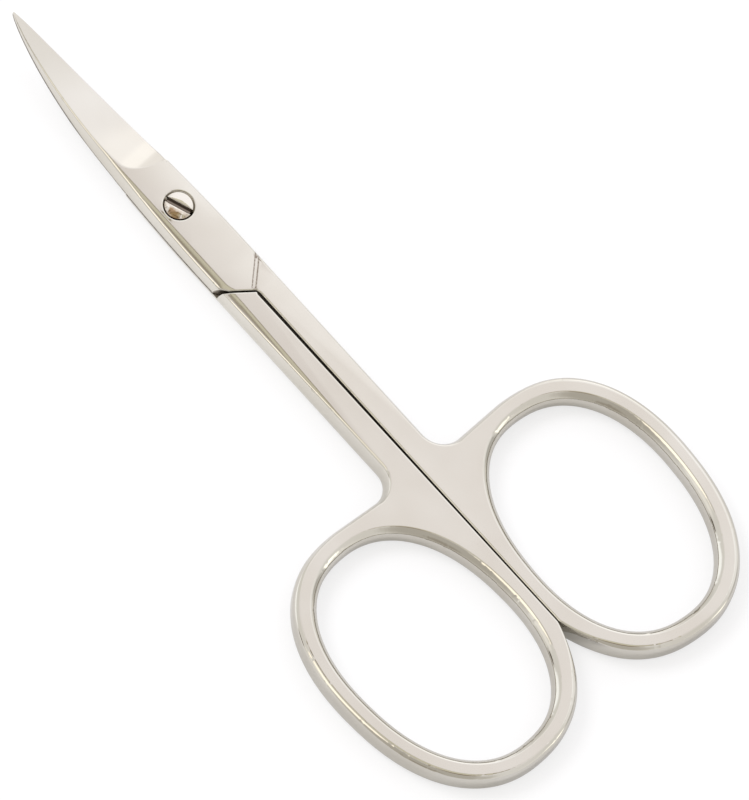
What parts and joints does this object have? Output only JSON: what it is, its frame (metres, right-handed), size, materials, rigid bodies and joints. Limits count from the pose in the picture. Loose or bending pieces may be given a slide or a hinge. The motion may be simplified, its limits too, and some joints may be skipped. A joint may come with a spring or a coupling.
{
  "type": "manicure scissors",
  "caption": "Curved manicure scissors: two nickel-plated forged halves with oval finger rings, crossed in a lap joint on a slotted pivot screw.",
  "frame": {"origin": "on the pivot screw's axis, in the plane of the flat back that the pair lies on, where the screw's end is dressed flush", "axes": "+Y from the pivot towards the tips, +Z out of the front face along the pivot screw, the way the blades curve; +X towards the ring of the upper half"},
  "size_m": [0.0452, 0.09, 0.0049],
  "materials": {
    "nickel_plate": "bright nickel plate over a polished steel forging, with faint polishing lines",
    "screw_steel": "nickel-plated turned steel, polished head"
  },
  "bodies": {
    "lower_body": {"lower_half": "nickel_plate", "pivot_screw": "screw_steel"},
    "upper_body": {"upper_half": "nickel_plate"}
  },
  "joints": [
    {"name": "pivot", "type": "hinge", "parent": "lower_body", "child": "upper_body", "pos_m": [0, 0, 0.0014], "axis": [0, 0, 1], "range_deg": [0, 60]}
  ]
}
